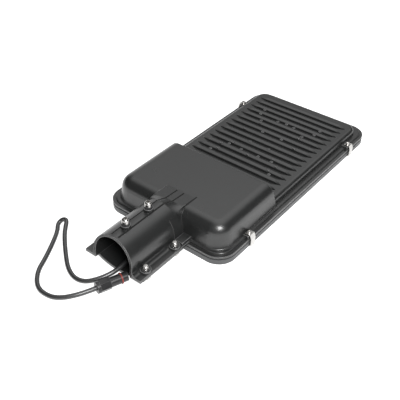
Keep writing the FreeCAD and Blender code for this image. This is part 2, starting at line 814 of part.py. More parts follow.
def cut_hollow(body):
    """Hollow of the shell: the bay over the glass, the gear chamber, its posts and the lead's passage."""
    bay = new_sketch(body, "bay", "XY_Plane", "rim_bottom")
    outline(bay, "bay_low", "bay_high", "bay_half", "bay_near_radius", "bay_far_radius")
    cut(body, bay, "light_seat - rim_bottom", ahead=True)
    chamber = new_sketch(body, "chamber", "XY_Plane", "light_seat")
    outline(chamber, "chamber_low", "chamber_high", "chamber_half", "chamber_inset", "chamber_inset")
    cut(body, chamber, "chamber_top - light_seat", ahead=True)
    posts = new_sketch(body, "posts", "XY_Plane", "tray_top")
    circles(posts, "post_diameter", TRAY_POSTS)
    add(body, posts, "chamber_top - tray_top")
    post_holes = new_sketch(body, "post_holes", "XY_Plane", "tray_top")
    circles(post_holes, "tray_screw_shank + 2 * screw_gap", TRAY_POSTS)
    cut(body, post_holes, "tray_screw_depth", ahead=True)
    board_holes = new_sketch(body, "seat_holes", "XY_Plane", "light_seat")
    circles(board_holes, "board_screw_shank + 2 * screw_gap", BOARD_SCREWS)
    cut(body, board_holes, "board_screw_depth", ahead=True)
    passage = new_sketch(body, "passage", "YZ_Plane", "bore_end")
    circles(passage, "passage_diameter", [("0", "gland_axis_height")])
    cut(body, passage, "chamber_low - bore_end", ahead=True)


def build_lens_frame():
    """Lens frame: a rim with a lip that carries the glass, notched under the clips."""
    body = new_body("lens_frame")
    frame = new_sketch(body, "frame", "XY_Plane")
    outline(frame, "near_edge", "far_edge", "half_width", "corner_radius", "corner_radius")
    add(body, frame, "frame_height")
    seat = new_sketch(body, "seat", "XY_Plane", "frame_height")
    outline(seat, "seat_low", "seat_high", "seat_half", "seat_radius", "seat_radius")
    cut(body, seat, "frame_height - frame_lip_height")
    window = new_sketch(body, "window", "XY_Plane", "frame_lip_height")
    outline(window, "window_low", "window_high", "window_half", "window_radius", "window_radius")
    cut(body, window, "frame_lip_height")
    notches = new_sketch(body, "notches", "XY_Plane")
    for along in ("clip_near", "clip_far"):
        low = f"{along} - clip_width / 2 - running_gap"
        high = f"{along} + clip_width / 2 + running_gap"
        for side in ("", "-"):
            inner = f"{side}(half_width - clip_hook)"
            outer = f"{side}(half_width + running_gap)"
            profile(notches, (low, inner), [(high, inner)], [(high, outer)], [(low, outer)])
    cut(body, notches, "clip_gauge + 2 * screw_gap", ahead=True)
    sub_parts.append(body)


def build_plate(label, bottom, thickness, outer, inner=None, holes=None):
    """Flat piece with round corners, and a round-cornered opening or screw holes where it has them."""
    body = new_body(label)
    plate = new_sketch(body, label + "_outline", "XY_Plane", bottom)
    outline(plate, *outer)
    add(body, plate, thickness)
    if inner:
        opening = new_sketch(body, label + "_opening", "XY_Plane", bottom)
        outline(opening, *inner)
        cut(body, opening, thickness, ahead=True)
    if holes:
        hole_sketch = new_sketch(body, label + "_holes", "XY_Plane", bottom)
        circles(hole_sketch, *holes)
        cut(body, hole_sketch, thickness, ahead=True)
    sub_parts.append(body)


def build_light_engine():
    """Circuit board with its light emitters and screws, under the finned roof."""
    build_plate(
        "led_board", "board_bottom", "board_thickness",
        ("board_low", "board_high", "board_half", "board_radius", "board_radius"),
        holes=("board_screw_shank + 2 * screw_gap", BOARD_SCREWS),
    )
    emitter = master("emitter")
    die = new_sketch(emitter, "die", "XY_Plane")
    half = "emitter_size / 2"
    minus = "-emitter_size / 2"
    profile(die, (minus, minus), [(half, minus)], [(half, half)], [(minus, half)])
    add(emitter, die, "emitter_height", draft="-wall_draft", back=True)
    columns = int(SIZES["emitter_columns"])
    rows = int(SIZES["emitter_rows"])
    repeat("led_emitters", emitter, [
        (
            f"(board_low + board_high) / 2 + {column - (columns - 1) / 2} * emitter_pitch_along",
            f"{row - (rows - 1) / 2} * emitter_pitch_across", "board_bottom",
        )
        for column in range(columns) for row in range(rows)
    ])
    screw = build_screw(
        "board_screw", "board_screw_shank", "board_screw_depth - screw_gap + board_thickness",
        "board_screw_head", "board_screw_head_height", below=True,
    )
    repeat("board_screws", screw, [(x, y, "board_bottom") for x, y in BOARD_SCREWS])


def build_screw(label, shank, length, head, head_height, below=False):
    """Pan-head screw whose head bears on its origin; below turns it head down."""
    up = "-" if not below else ""
    down = "" if not below else "-"
    body = master(label)
    half = new_sketch(body, label + "_half", "XZ_Plane")
    profile(
        half, ("0", f"{down}{head_height}"),
        [(f"{head} / 2 - {head_height} / 2", f"{down}{head_height}")],
        [(f"{head} / 2 - {ARC_SAG} * {head_height} / 2", f"{down}(1 - {ARC_SAG} / 2) * {head_height}"),
         (f"{head} / 2", f"{down}{head_height} / 2")],
        [(f"{head} / 2", "0")],
        [(f"{shank} / 2", "0")],
        [(f"{shank} / 2", f"{up}({length})")],
        [("0", f"{up}({length})")],
    )
    turn(body, half)
    return body


def build_gear():
    """Gear tray with the battery and the charge controller standing on it."""
    build_plate(
        "gear_tray", "tray_level", "tray_gauge",
        ("tray_low", "tray_high", "tray_half", "tray_radius"),
        holes=("tray_screw_shank + 2 * screw_gap", TRAY_POSTS),
    )
    for label, side, height in (
        ("battery_pack", "-", "battery_height"), ("charge_controller", "", "controller_height"),
    ):
        body = new_body(label)
        block = new_sketch(body, label + "_block", "XY_Plane", "tray_top")
        inner = f"{side}gear_gap / 2"
        outer = f"{side}gear_half"
        profile(
            block, ("gear_low", inner),
            [("gear_high", inner)], [("gear_high", outer)], [("gear_low", outer)],
        )
        add(body, block, height)
        level = value("tray_top") + value(height)
        round_edges(
            body, label + "_edges", "shell_wall", lambda box: abs(box.ZMin - level) < 0.01,
        )
        sub_parts.append(body)
    screw = build_screw(
        "tray_screw", "tray_screw_shank", "tray_screw_depth - screw_gap + tray_gauge",
        "tray_screw_head", "tray_screw_head_height", below=True,
    )
    repeat("tray_screws", screw, [(x, y, "tray_level") for x, y in TRAY_POSTS])


def build_clips():
    """Four folded strips that hook under the lens frame and are screwed down on the rim's ears."""
    places = (
        ("clip_near_left", "clip_near", 0), ("clip_near_right", "clip_near", 180),
        ("clip_far_left", "clip_far", 0), ("clip_far_right", "clip_far", 180),
    )
    leg = "half_width + clip_stand_off"
    shoulder = "ear_half + clip_gauge / 2"
    tail = "box_half + running_gap"
    hook = "half_width - clip_hook + running_gap"
    for label, along, heading in places:
        body = master(label)
        strip = new_sketch(body, label + "_strip", "YZ_Plane")
        profile(
            strip, (tail, "ear_top"),
            [(shoulder, "ear_top")],
            [(leg, "rim_top")],
            [(leg, "clip_gauge + screw_gap")],
            [(hook, "clip_gauge + screw_gap")],
            [(hook, "screw_gap")],
            [(f"{leg} + clip_gauge", "screw_gap")],
            [(f"{leg} + clip_gauge", "rim_top + clip_gauge / 2")],
            [(f"{shoulder} + clip_gauge / 2", "ear_top + clip_gauge")],
            [(tail, "ear_top + clip_gauge")],
        )
        add(body, strip, "clip_width", symmetric=True)
        hole = new_sketch(body, label + "_hole", "XY_Plane", "ear_top + clip_gauge")
        circles(hole, "clip_screw_shank + 2 * screw_gap", [("0", "clip_screw_half")])
        cut(body, hole, "clip_gauge")
        bind(body, "Placement.Base.x", f"{along} - half_length")
        body.Placement.Rotation = Rotation(Vector(0, 0, 1), heading)
        sub_parts.append(body)
    screw = build_screw(
        "clip_screw", "clip_screw_shank", "clip_gauge + clip_screw_depth - screw_gap",
        "clip_screw_head", "clip_screw_head_height",
    )
    drive = new_sketch(screw, "clip_screw_drive", "XY_Plane", "clip_screw_head_height")
    hexagon(drive, "clip_socket_width")
    cut(screw, drive, "clip_socket_depth")
    repeat("clip_screws", screw, [(x, y, "ear_top + clip_gauge") for x, y in CLIP_SCREWS])


def build_socket_screws():
    """Set screws with their lock nuts on the crest, and the bolts and washers of the clamp."""
    nut = master("lock_nut")
    flats = new_sketch(nut, "lock_nut_flats", "XY_Plane")
    hexagon(flats, "set_nut_width")
    add(nut, flats, "set_nut_height")
    nut_hole = new_sketch(nut, "lock_nut_hole", "XY_Plane")
    circles(nut_hole, "set_shank_diameter + 2 * screw_gap", [("0", "0")])
    cut(nut, nut_hole, "set_nut_height", ahead=True)
    repeat("lock_nuts", nut, [(x, y, "set_boss_top") for x, y in SET_SCREWS])

    screw = build_screw(
        "set_screw", "set_shank_diameter", "set_nut_height + set_boss_height + socket_wall",
        "set_head_diameter", "set_head_height",
    )
    drive = new_sketch(screw, "set_screw_drive", "XY_Plane", "set_head_height")
    hexagon(drive, "set_socket_width")
    cut(screw, drive, "set_socket_depth")
    repeat("set_screws", screw, [(x, y, "set_boss_top + set_nut_height") for x, y in SET_SCREWS])

    bolt = master("clamp_bolt")
    head = new_sketch(bolt, "clamp_bolt_head", "XY_Plane")
    hexagon(head, "clamp_head_width")
    add(bolt, head, "clamp_head_height", back=True)
    shank = new_sketch(bolt, "clamp_bolt_shank", "XY_Plane")
    circles(shank, "clamp_shank_diameter", [("0", "0")])
    length = "washer_thickness + saddle_flange_thickness + clamp_boss_top - rim_top + clamp_shank_rise"
    add(bolt, shank, length)
    tip = value(length)
    round_edges(bolt, "clamp_bolt_tip", "clamp_shank_diameter / 5", lambda box: box.ZMin > tip - 0.01)
    seat = "saddle_flange_bottom - washer_thickness"
    repeat("clamp_bolts", bolt, [(x, y, seat) for x, y in CLAMP_BOLTS])

    washer = master("washer")
    disc = new_sketch(washer, "washer_disc", "XY_Plane")
    circles(disc, "washer_diameter", [("0", "0")])
    circles(disc, "clamp_shank_diameter + 2 * screw_gap", [("0", "0")])
    add(washer, disc, "washer_thickness")
    repeat("clamp_washers", washer, [(x, y, seat) for x, y in CLAMP_BOLTS])


def build_saddle():
    """Dished lower half of the pole clamp, bolted under the socket's flanges."""
    body = new_body("clamp_saddle")
    section = new_sketch(body, "saddle_section", "YZ_Plane", "saddle_low")
    profile(
        section, ("saddle_half", "rim_top"),
        [("bore_radius", "rim_top")],
        [("0", "rim_top - saddle_sag"), ("-bore_radius", "rim_top")],
        [("-saddle_half", "rim_top")],
        [("-saddle_half", "saddle_flange_bottom")],
        [("-(bore_radius + saddle_wall)", "saddle_flange_bottom")],
        [("0", "rim_top - saddle_sag - saddle_wall"), ("bore_radius + saddle_wall", "saddle_flange_bottom")],
        [("saddle_half", "saddle_flange_bottom")],
    )
    add(body, section, "saddle_high - saddle_low")
    holes = new_sketch(body, "saddle_holes", "XY_Plane", "saddle_flange_bottom")
    circles(holes, "clamp_shank_diameter + 2 * screw_gap", CLAMP_BOLTS)
    cut(body, holes, "saddle_flange_thickness", ahead=True)
    sub_parts.append(body)


def build_gland():
    """Rubber gland that leads the cable through the end wall of the socket."""
    body = new_body("cable_gland")
    half = new_sketch(body, "gland_half", "XZ_Plane")
    nose = "bore_end - gland_length - gland_nose_length"
    profile(
        half, (nose, "0"),
        [(nose, "gland_nose_diameter / 2")],
        [("bore_end - gland_length", "gland_diameter / 2")],
        [("bore_end", "gland_diameter / 2")],
        [("bore_end", "gland_tail_diameter / 2")],
        [("bay_low", "gland_tail_diameter / 2")],
        [("bay_low", "0")],
    )
    turn(body, half, "H_Axis")
    bind(body, "Placement.Base.z", "gland_axis_height")
    sub_parts.append(body)


def rounded_path(points, share=0.45):
    """Join straight runs by tangent arcs, each as large as its two runs allow."""
    edges = []
    radii = []
    start = points[0]
    for before, corner, after in zip(points, points[1:], points[2:]):
        back = (before - corner)
        ahead = (after - corner)
        half_turn = (math.pi - back.getAngle(ahead)) / 2
        reach = share * min(back.Length, ahead.Length)
        back.normalize()
        ahead.normalize()
        first = corner + back * reach
        last = corner + ahead * reach
        radius = reach / math.tan(half_turn)
        inward = (back + ahead).normalize()
        middle = corner + inward * (radius / math.cos(half_turn) - radius)
        edges.append(Part.LineSegment(start, first).toShape())
        edges.append(Part.Arc(first, middle, last).toShape())
        radii.append(radius)
        start = last
    edges.append(Part.LineSegment(start, points[-1]).toShape())
    return Part.Wire(edges), radii


def build_cable():
    """Round lead from the gland to the connector, lying in the saddle and then on the ground."""
    points = [Vector(*point) for point in CABLE_ROUTE]
    points[0] = Vector(value("bore_end - gland_length - gland_nose_length"), 0, value("gland_axis_height"))
    path, radii = rounded_path(points)
    radius = value("cable_diameter") / 2
    circle = Part.Circle(points[0], points[1] - points[0], radius)
    tube = path.makePipeShell([Part.Wire(circle.toShape())], True, False)
    expected = math.pi * radius ** 2 * path.Length
    print("cable length", round(path.Length, 1), "radii", [round(size, 1) for size in radii])
    print("cable volume over section times length", round(tube.Volume / expected, 4))
    cable = doc.addObject("Part::Feature", "power_cable")
    cable.Label = "power_cable"
    cable.Shape = tube
    cable.Placement = Placement(Vector(-value("half_length"), 0, 0), Rotation())
    sub_parts.append(cable)


def lay_connector(body):
    """Put a connector piece, made along X, at the end of the lead."""
    end = Vector(*CABLE_ROUTE[-1])
    bind(body, "Placement.Base.x", f"{end.x} - half_length")
    body.Placement.Base = Vector(body.Placement.Base.x, end.y, end.z)
    body.Placement.Rotation = Rotation(Vector(0, 0, 1), CONNECTOR_HEADING)
    sub_parts.append(body)


def build_connector():
    """Loose connector on the lead: tail ring, coupling nut, shell, seal and mating end with contacts."""
    rounds = (
        ("connector_tail_ring", "0", "ring_end", "tail_ring_diameter"),
        ("connector_shell", "nut_end", "shell_end", "shell_diameter"),
        ("connector_seal", "shell_end", "seal_end", "seal_diameter"),
        ("connector_end", "seal_end", "connector_length", "mating_end_diameter"),
    )
    for label, low, high, diameter in rounds:
        body = new_body(label)
        disc = new_sketch(body, label + "_disc", "YZ_Plane", low)
        circles(disc, diameter, [("0", "0")])
        add(body, disc, f"{high} - {low}")
        if label == "connector_end":
            bore = new_sketch(body, "mating_bore", "YZ_Plane", high)
            circles(bore, "mating_bore_diameter", [("0", "0")])
            cut(body, bore, "mating_bore_depth")
        lay_connector(body)

    nut = new_body("connector_nut")
    flats = new_sketch(nut, "coupling_flats", "YZ_Plane", "ring_end")
    hexagon(flats, "coupling_nut_width")
    add(nut, flats, "coupling_nut_length")
    lay_connector(nut)

    contact = master("contact")
    pin = new_sketch(contact, "contact_pin", "YZ_Plane")
    circles(pin, "contact_diameter", [("0", "0")])
    add(contact, pin, "contact_length")
    floor = "connector_length - mating_bore_depth"
    spots = [(floor, "contact_spread * cos(90)", "contact_spread")]
    spots += [(floor, f"{side}contact_spread * cos(30)", "-contact_spread / 2") for side in ("", "-")]
    solids = []
    for spot in spots:
        solid = contact.Shape.copy()
        solid.translate(Vector(*(value(text) for text in spot)))
        solids.append(solid)
    pins = doc.addObject("Part::Feature", "connector_contacts")
    pins.Label = "connector_contacts"
    pins.Shape = Part.makeCompound(solids)
    end = Vector(*CABLE_ROUTE[-1]) - Vector(value("half_length"), 0, 0)
    pins.Placement = Placement(end, Rotation(Vector(0, 0, 1), CONNECTOR_HEADING))
    sub_parts.append(pins)


def write_parts():
    """Check every object and sub-part, then write each sub-part to its own file."""
    doc.recompute()
    for item in doc.Objects:
        if "Invalid" in item.State or "Error" in item.State:
            raise RuntimeError(f"{item.Name} failed: {item.State}")
    os.makedirs("parts", exist_ok=True)
    for part in sub_parts:
        if part.Shape.isNull() or not part.Shape.isValid():
            raise RuntimeError(f"{part.Label} has no valid shape")
    for part in sub_parts:
        part.Shape.exportStep(f"parts/{part.Label}.step")
        print(part.Label, len(part.Shape.Solids), round(part.Shape.Volume / 1000, 2), "cm3")


build_housing()
build_lens_frame()
build_plate(
    "glass_cover", "frame_lip_height", "glass_thickness",
    ("glass_low", "glass_high", "glass_half", "glass_radius", "glass_radius"),
)
build_plate(
    "seal_gasket", "frame_height", "seam_gap",
    ("gasket_low", "gasket_high", "gasket_half", "gasket_radius", "gasket_radius"),
    ("gasket_inner_low", "gasket_inner_high", "gasket_inner_half", "gasket_inner_radius",
     "gasket_inner_radius"),
)
build_light_engine()
build_gear()
build_clips()
build_socket_screws()
build_saddle()
build_gland()
build_cable()
build_connector()
write_parts()
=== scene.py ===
"""Dressed scene of a street lamp head that lies face down on a pale floor.

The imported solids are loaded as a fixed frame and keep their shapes.  Each sub-assembly
is a class that gives its nodes their finishes and adds the fine pieces that the solids
leave out.  Metres; X runs from the mouth of the pole socket to the far rim, Z is up.
"""

import logging
from dataclasses import dataclass
from enum import Enum
from typing import Any, Sequence

import bpy
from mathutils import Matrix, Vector


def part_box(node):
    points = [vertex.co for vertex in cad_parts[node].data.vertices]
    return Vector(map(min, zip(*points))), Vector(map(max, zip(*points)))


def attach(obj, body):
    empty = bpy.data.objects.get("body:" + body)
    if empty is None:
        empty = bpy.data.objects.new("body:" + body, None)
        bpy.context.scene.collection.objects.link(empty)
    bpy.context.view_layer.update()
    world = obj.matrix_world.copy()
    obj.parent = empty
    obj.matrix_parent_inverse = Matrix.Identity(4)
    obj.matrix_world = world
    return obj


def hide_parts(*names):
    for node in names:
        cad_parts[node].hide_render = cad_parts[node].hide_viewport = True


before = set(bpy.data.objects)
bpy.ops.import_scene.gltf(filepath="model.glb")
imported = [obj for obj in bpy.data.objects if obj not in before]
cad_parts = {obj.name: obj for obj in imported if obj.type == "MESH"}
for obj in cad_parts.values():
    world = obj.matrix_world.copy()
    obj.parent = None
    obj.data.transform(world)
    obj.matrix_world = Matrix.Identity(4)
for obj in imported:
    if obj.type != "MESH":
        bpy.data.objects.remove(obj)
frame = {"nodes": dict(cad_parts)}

LOG = logging.getLogger("lamp_head")
BODY = "root"
MM = 0.001
WHITE = (1.0, 1.0, 1.0, 1.0)

Colour = tuple[float, float, float]
Point = tuple[float, float, float]
Span = tuple[float, float]
Socket = bpy.types.NodeSocket
Tree = bpy.types.NodeTree


def arithmetic(tree: Tree, operation: str, *values: Socket | float) -> Socket:
    """Add one step of arithmetic to a shader.

    Args:
        tree: Node tree that the step is added to.
        operation: Name of the operation.
        *values: Sockets or numbers that it works on.

    Returns:
        The result.
    """
    node = tree.nodes.new("ShaderNodeMath")
    node.operation = operation
    for target, value in zip(node.inputs, values):
        if isinstance(value, Socket):
            tree.links.new(value, target)
        else:
            target.default_value = value
    return node.outputs["Value"]


def combined(tree: Tree, operation: str, values: Sequence[Socket]) -> Socket:
    """Fold several values into one.

    Args:
        tree: Node tree that the steps are added to.
        operation: Arithmetic between each two values.
        values: Values to fold.

    Returns:
        The folded value.
    """
    total = values[0]
    for value in values[1:]:
        total = arithmetic(tree, operation, total, value)
    return total


def rescaled(tree: Tree, value: Socket, span: Span, result: Span, smooth: bool = False) -> Socket:
    """Carry a value from one span over to another and hold it at the ends.

    Args:
        tree: Node tree that the step is added to.
        value: Value to carry over.
        span: Ends of the span that the value comes from.
        result: Ends of the span that it is carried to.
        smooth: Whether it eases in and out.

    Returns:
        The value on the new span.
    """
    node = tree.nodes.new("ShaderNodeMapRange")
    if smooth:
        node.interpolation_type = "SMOOTHSTEP"
    for name, end in zip(("From Min", "From Max", "To Min", "To Max"), (*span, *result)):
        node.inputs[name].default_value = end
    tree.links.new(value, node.inputs["Value"])
    return node.outputs["Result"]


def rays_of(tree: Tree, kinds: Sequence[str]) -> Socket:
    """Tell whether a ray is of one of the given kinds.

    Args:
        tree: Node tree that reads the rays.
        kinds: Kinds of rays.

    Returns:
        1 for such a ray, 0 for any other.
    """
    path = tree.nodes.new("ShaderNodeLightPath")
    return combined(tree, "MAXIMUM", [path.outputs[kind] for kind in kinds])


def put_in_scene(name: str, data: bpy.types.ID) -> bpy.types.Object:
    """Make an object and link it to the scene.

    Args:
        name: Name of the object.
        data: Mesh, curve, light or camera that it shows.

    Returns:
        The object, at the origin.
    """
    made = bpy.data.objects.new(name, data)
    bpy.context.scene.collection.objects.link(made)
    return made


def aim(piece: bpy.types.Object, position: Point, heading: Vector) -> None:
    """Move a light or a camera to its place and turn it.

    Args:
        piece: The light or the camera.
        position: Its place, in metres.
        heading: Direction that it points in.
    """
    piece.location = position
    piece.rotation_mode = "QUATERNION"
    piece.rotation_quaternion = heading.to_track_quat("-Z", "Y")


class Pattern(Enum):
    """Surface structure that a finish shows at close range."""

    PEEL = "orange peel of a sprayed coat"
    BRUSHED = "fine brushed lines"
    MOULDED = "faint grain of a moulded skin"
    CLEAR = "polished, with faint smudges"


@dataclass(frozen=True)
class PaintedShadeRun:
    """Stretch that painted shade lines follow.

    Attributes:
        along: Where it starts and ends along the lamp, in metres.
        level: Lowest and highest level that it takes in, in metres.
    """

    along: Span
    level: Span


@dataclass(frozen=True)
class PaintedShadeLines:
    """Lines of painted shade along X.

    Attributes:
        places: Where the lines lie across the lamp, in metres.
        width: Width of a line, in metres.
        runs: Stretches that each line follows.
    """

    places: tuple[float, ...]
    width: float
    runs: tuple[PaintedShadeRun, ...]


@dataclass(frozen=True)
class Finish:
    """Procedural finish of a surface.

    Attributes:
        slot: Material slot of the record that the finish belongs to.
        colour: Mean linear colour.
        variation: Relative strength of the colour's slow drift.
        roughness: Lowest and highest roughness.
        metallic: Share of bare metal.
        pattern: Structure at close range.
        grain: Size of the structure, in metres.
        relief: Depth of the structure, in metres.
        edge: Radius that softens the edges in the shading, in metres.
        painted_highlight_tone: Brightness of the painted highlight along outer edges; above zero, painted
            shade in hollows and on the lines is drawn too.
        specular: Level of the dielectric reflection.
        transmission: Share of light that passes through.
        coat: Weight of a clear top coat.
        painted_shade_lines: Lines of painted shade along grooves and the edge of a step.
    """

    slot: str
    colour: Colour
    variation: float = 0.08
    roughness: Span = (0.4, 0.5)
    metallic: float = 0.0
    pattern: Pattern = Pattern.MOULDED
    grain: float = 0.001
    relief: float = 0.00002
    edge: float = 0.0
    painted_highlight_tone: float = 0.0
    specular: float = 0.5
    transmission: float = 0.0
    coat: float = 0.0
    painted_shade_lines: tuple[PaintedShadeLines, ...] = ()

    def material(self) -> bpy.types.Material:
        """Build the material once and hand out the same one afterwards.

        Returns:
            The material of this finish.
        """
        if self.slot not in FinishGraph.made:
            FinishGraph.made[self.slot] = FinishGraph(self).build()
        return FinishGraph.made[self.slot]


class FinishGraph:
    """Node graph that turns a finish into a material.

    Attributes:
        DRIFT_SCALE: Cells of the colour's slow drift in a metre.
        DRIFT_DETAIL: Octaves of that drift.
        SMUDGE_SCALE: Cells of the roughness's drift in a metre.
        SMUDGE_DETAIL: Octaves of that drift.
        NOISE_SPAN: Values that a noise seldom leaves.
        PEEL_DETAIL: Octaves of an orange peel, which is smooth between its cells.
        GRAIN_DETAIL: Octaves of any other structure.
        STRETCH: How many times longer than wide brushed lines are.
        BEVEL_SAMPLES: Rays that soften an edge.
        FINDER_SAMPLES: Rays that look for other faces.
        FINDER_SPAN: Openness up to which other faces count as near, and from which as far.
        PAINTED_HIGHLIGHT_REACH: How far the painted highlight reaches from outer edges, in radii of the
            edge.
        PAINTED_SHADE_REACH: How far painted shade reaches into hollows, in radii of the edge.
        PAINTED_SHADE_TONE: Brightness of the painted shade in hollows and on the lines.
        made: Materials that are built, by slot.
    """

    DRIFT_SCALE = 14.0
    DRIFT_DETAIL = 3.0
    SMUDGE_SCALE = 30.0
    SMUDGE_DETAIL = 4.0
    NOISE_SPAN = (0.3, 0.7)
    PEEL_DETAIL = 1.0
    GRAIN_DETAIL = 3.0
    STRETCH = 14.0
    BEVEL_SAMPLES = 6
    FINDER_SAMPLES = 12
    FINDER_SPAN = (0.4, 0.8)
    PAINTED_HIGHLIGHT_REACH = 1.6
    PAINTED_SHADE_REACH = 3.0
    PAINTED_SHADE_TONE = 0.004
    made: dict[str, bpy.types.Material] = {}

    def __init__(self, finish: Finish) -> None:
        """Start an empty material.

        Args:
            finish: Finish that the graph is built for.
        """
        self.finish = finish
        self.material = bpy.data.materials.new(f"{finish.slot}_finish")
        self.material.use_nodes = True
        self.tree = self.material.node_tree
        self.shader = self.tree.nodes["Principled BSDF"]
        self.place = self.tree.nodes.new("ShaderNodeTexCoord").outputs["Object"]

    def build(self) -> bpy.types.Material:
        """Wire colour, roughness and relief to the shader.

        Returns:
            The finished material.
        """
        finish = self.finish
        inputs = self.shader.inputs
        inputs["Metallic"].default_value = finish.metallic
        inputs["Specular IOR Level"].default_value = finish.specular
        inputs["Transmission Weight"].default_value = finish.transmission
        inputs["Coat Weight"].default_value = finish.coat
        drift = self.noise(self.DRIFT_SCALE, self.DRIFT_DETAIL)
        low = tuple(channel * (1.0 - finish.variation) for channel in finish.colour)
        high = tuple(min(1.0, channel * (1.0 + finish.variation)) for channel in finish.colour)
        colour = self.ramp(drift, low, high)
        smudge = self.noise(self.SMUDGE_SCALE, self.SMUDGE_DETAIL)
        roughness = rescaled(self.tree, smudge, self.NOISE_SPAN, finish.roughness)
        # Painted highlight on outer edges and painted shade in hollows and on the lines; roughness rises
        # in the painted shade.
        if finish.painted_highlight_tone > 0.0:
            painted_shade = self.painted_shade_mask()
            colour = self.painted_light_and_shade(colour, painted_shade)
            roughness = arithmetic(self.tree, "MAXIMUM", roughness, painted_shade)
        self.tree.links.new(colour, inputs["Base Color"])
        self.tree.links.new(roughness, inputs["Roughness"])
        self.tree.links.new(self.relief(), inputs["Normal"])
        return self.material

    def noise(self, scale: float, detail: float, stretched: bool = False) -> Socket:
        """Add a noise on the object's own coordinates.

        Args:
            scale: Cells in a metre.
            detail: Octaves of the noise.
            stretched: Whether the cells are drawn out along X.

        Returns:
            The noise's value.
        """
        texture = self.tree.nodes.new("ShaderNodeTexNoise")
        texture.inputs["Scale"].default_value = scale
        texture.inputs["Detail"].default_value = detail
        source = self.place
        if stretched:
            mapping = self.tree.nodes.new("ShaderNodeMapping")
            mapping.inputs["Scale"].default_value = (1.0 / self.STRETCH, 1.0, 1.0)
            self.tree.links.new(source, mapping.inputs["Vector"])
            source = mapping.outputs["Vector"]
        self.tree.links.new(source, texture.inputs["Vector"])
        return texture.outputs["Fac"]

    def ramp(self, value: Socket, low: Colour, high: Colour) -> Socket:
        """Map a noise to colours between two ends.

        Args:
            value: Value of the noise.
            low: Colour at the low end of the noise's span.
            high: Colour at the high end.

        Returns:
            The colour.
        """
        node = self.tree.nodes.new("ShaderNodeValToRGB")
        for element, position, colour in zip(node.color_ramp.elements, self.NOISE_SPAN, (low, high)):
            element.position = position
            element.color = (*colour, 1.0)
        self.tree.links.new(value, node.inputs["Fac"])
        return node.outputs["Color"]

    def closeness(self, inside: bool, reach: float) -> Socket:
        """Tell how near other faces of the same piece are.

        Args:
            inside: Whether to look into the piece, for outer edges, or out of it, for hollows.
            reach: How far to look, in metres.

        Returns:
            0 on open faces, up to 1 at an outer edge or in a hollow.
        """
        finder = self.tree.nodes.new("ShaderNodeAmbientOcclusion")
        finder.inside = inside
        finder.only_local = True
        finder.samples = self.FINDER_SAMPLES
        finder.inputs["Distance"].default_value = reach
        return rescaled(self.tree, finder.outputs["AO"], self.FINDER_SPAN, (1.0, 0.0))

    def tint(self, colour: Socket, share: Socket, tone: float) -> Socket:
        """Blend a colour towards a grey.

        Args:
            colour: Colour to start from.
            share: Share of the grey.
            tone: Brightness of the grey.

        Returns:
            The blended colour.
        """
        mix = self.tree.nodes.new("ShaderNodeMixRGB")
        mix.inputs["Color2"].default_value = (tone, tone, tone, 1.0)
        self.tree.links.new(share, mix.inputs["Fac"])
        self.tree.links.new(colour, mix.inputs["Color1"])
        return mix.outputs["Color"]

    def within(self, value: Socket, span: Span) -> Socket:
        """Give 1 where a value lies in a span and 0 elsewhere."""
        low, high = span
        return arithmetic(self.tree, "COMPARE", value, (low + high) / 2, (high - low) / 2)

    def on_painted_shade_line(self, painted_shade_lines: PaintedShadeLines) -> Socket:
        """Tell whether a place lies on one of the painted shade lines.

        Args:
            painted_shade_lines: Course and width of the lines.

        Returns:
            1 on a line, 0 beside it.
        """
        split = self.tree.nodes.new("ShaderNodeSeparateXYZ")
        self.tree.links.new(self.place, split.inputs["Vector"])
        along, across, level = split.outputs
        near = [
            arithmetic(self.tree, "COMPARE", across, place, painted_shade_lines.width / 2)
            for place in painted_shade_lines.places
        ]
        inside = [
            arithmetic(self.tree, "MULTIPLY", self.within(along, run.along), self.within(level, run.level))
            for run in painted_shade_lines.runs
        ]
        return arithmetic(
            self.tree, "MULTIPLY",
            combined(self.tree, "MAXIMUM", near), combined(self.tree, "MAXIMUM", inside),
        )

    def painted_shade_mask(self) -> Socket:
        """Find where a coat gets painted shade: in its hollows and on its painted shade lines.
        """
        painted_shade = self.closeness(False, self.finish.edge * self.PAINTED_SHADE_REACH)
        lines = [self.on_painted_shade_line(painted_shade_lines) for painted_shade_lines in self.finish.painted_shade_lines]
        return combined(self.tree, "MAXIMUM", [painted_shade, *lines])

    def painted_light_and_shade(self, colour: Socket, painted_shade: Socket) -> Socket:
        """Paint highlights along a coat's outer edges, and paint shade into its hollows and onto its
        lines.

        Args:
            colour: Colour of the open faces.
            painted_shade: Share of painted shade at each place.

        Returns:
            The colour with painted highlights on its edges and painted shade in its hollows.
        """
        # Painted highlight: outer edges are lightened towards a brighter grey.
        edges = self.closeness(True, self.finish.edge * self.PAINTED_HIGHLIGHT_REACH)
        lightened = self.tint(colour, edges, self.finish.painted_highlight_tone)
        # Painted shade: hollows and lines go nearly black.
        return self.tint(lightened, painted_shade, self.PAINTED_SHADE_TONE)

    def relief(self) -> Socket:
        """Add the structure at close range as bump, over softened edges where the finish has them.

        Returns:
            The normal.
        """
        finish = self.finish
        bump = self.tree.nodes.new("ShaderNodeBump")
        bump.inputs["Strength"].default_value = 1.0
        bump.inputs["Distance"].default_value = finish.relief
        detail = self.PEEL_DETAIL if finish.pattern is Pattern.PEEL else self.GRAIN_DETAIL
        stretched = finish.pattern is Pattern.BRUSHED
        self.tree.links.new(self.noise(1.0 / finish.grain, detail, stretched), bump.inputs["Height"])
        if finish.edge > 0.0:
            bevel = self.tree.nodes.new("ShaderNodeBevel")
            bevel.samples = self.BEVEL_SAMPLES
            bevel.inputs["Radius"].default_value = finish.edge
            self.tree.links.new(bevel.outputs["Normal"], bump.inputs["Normal"])
        return bump.outputs["Normal"]


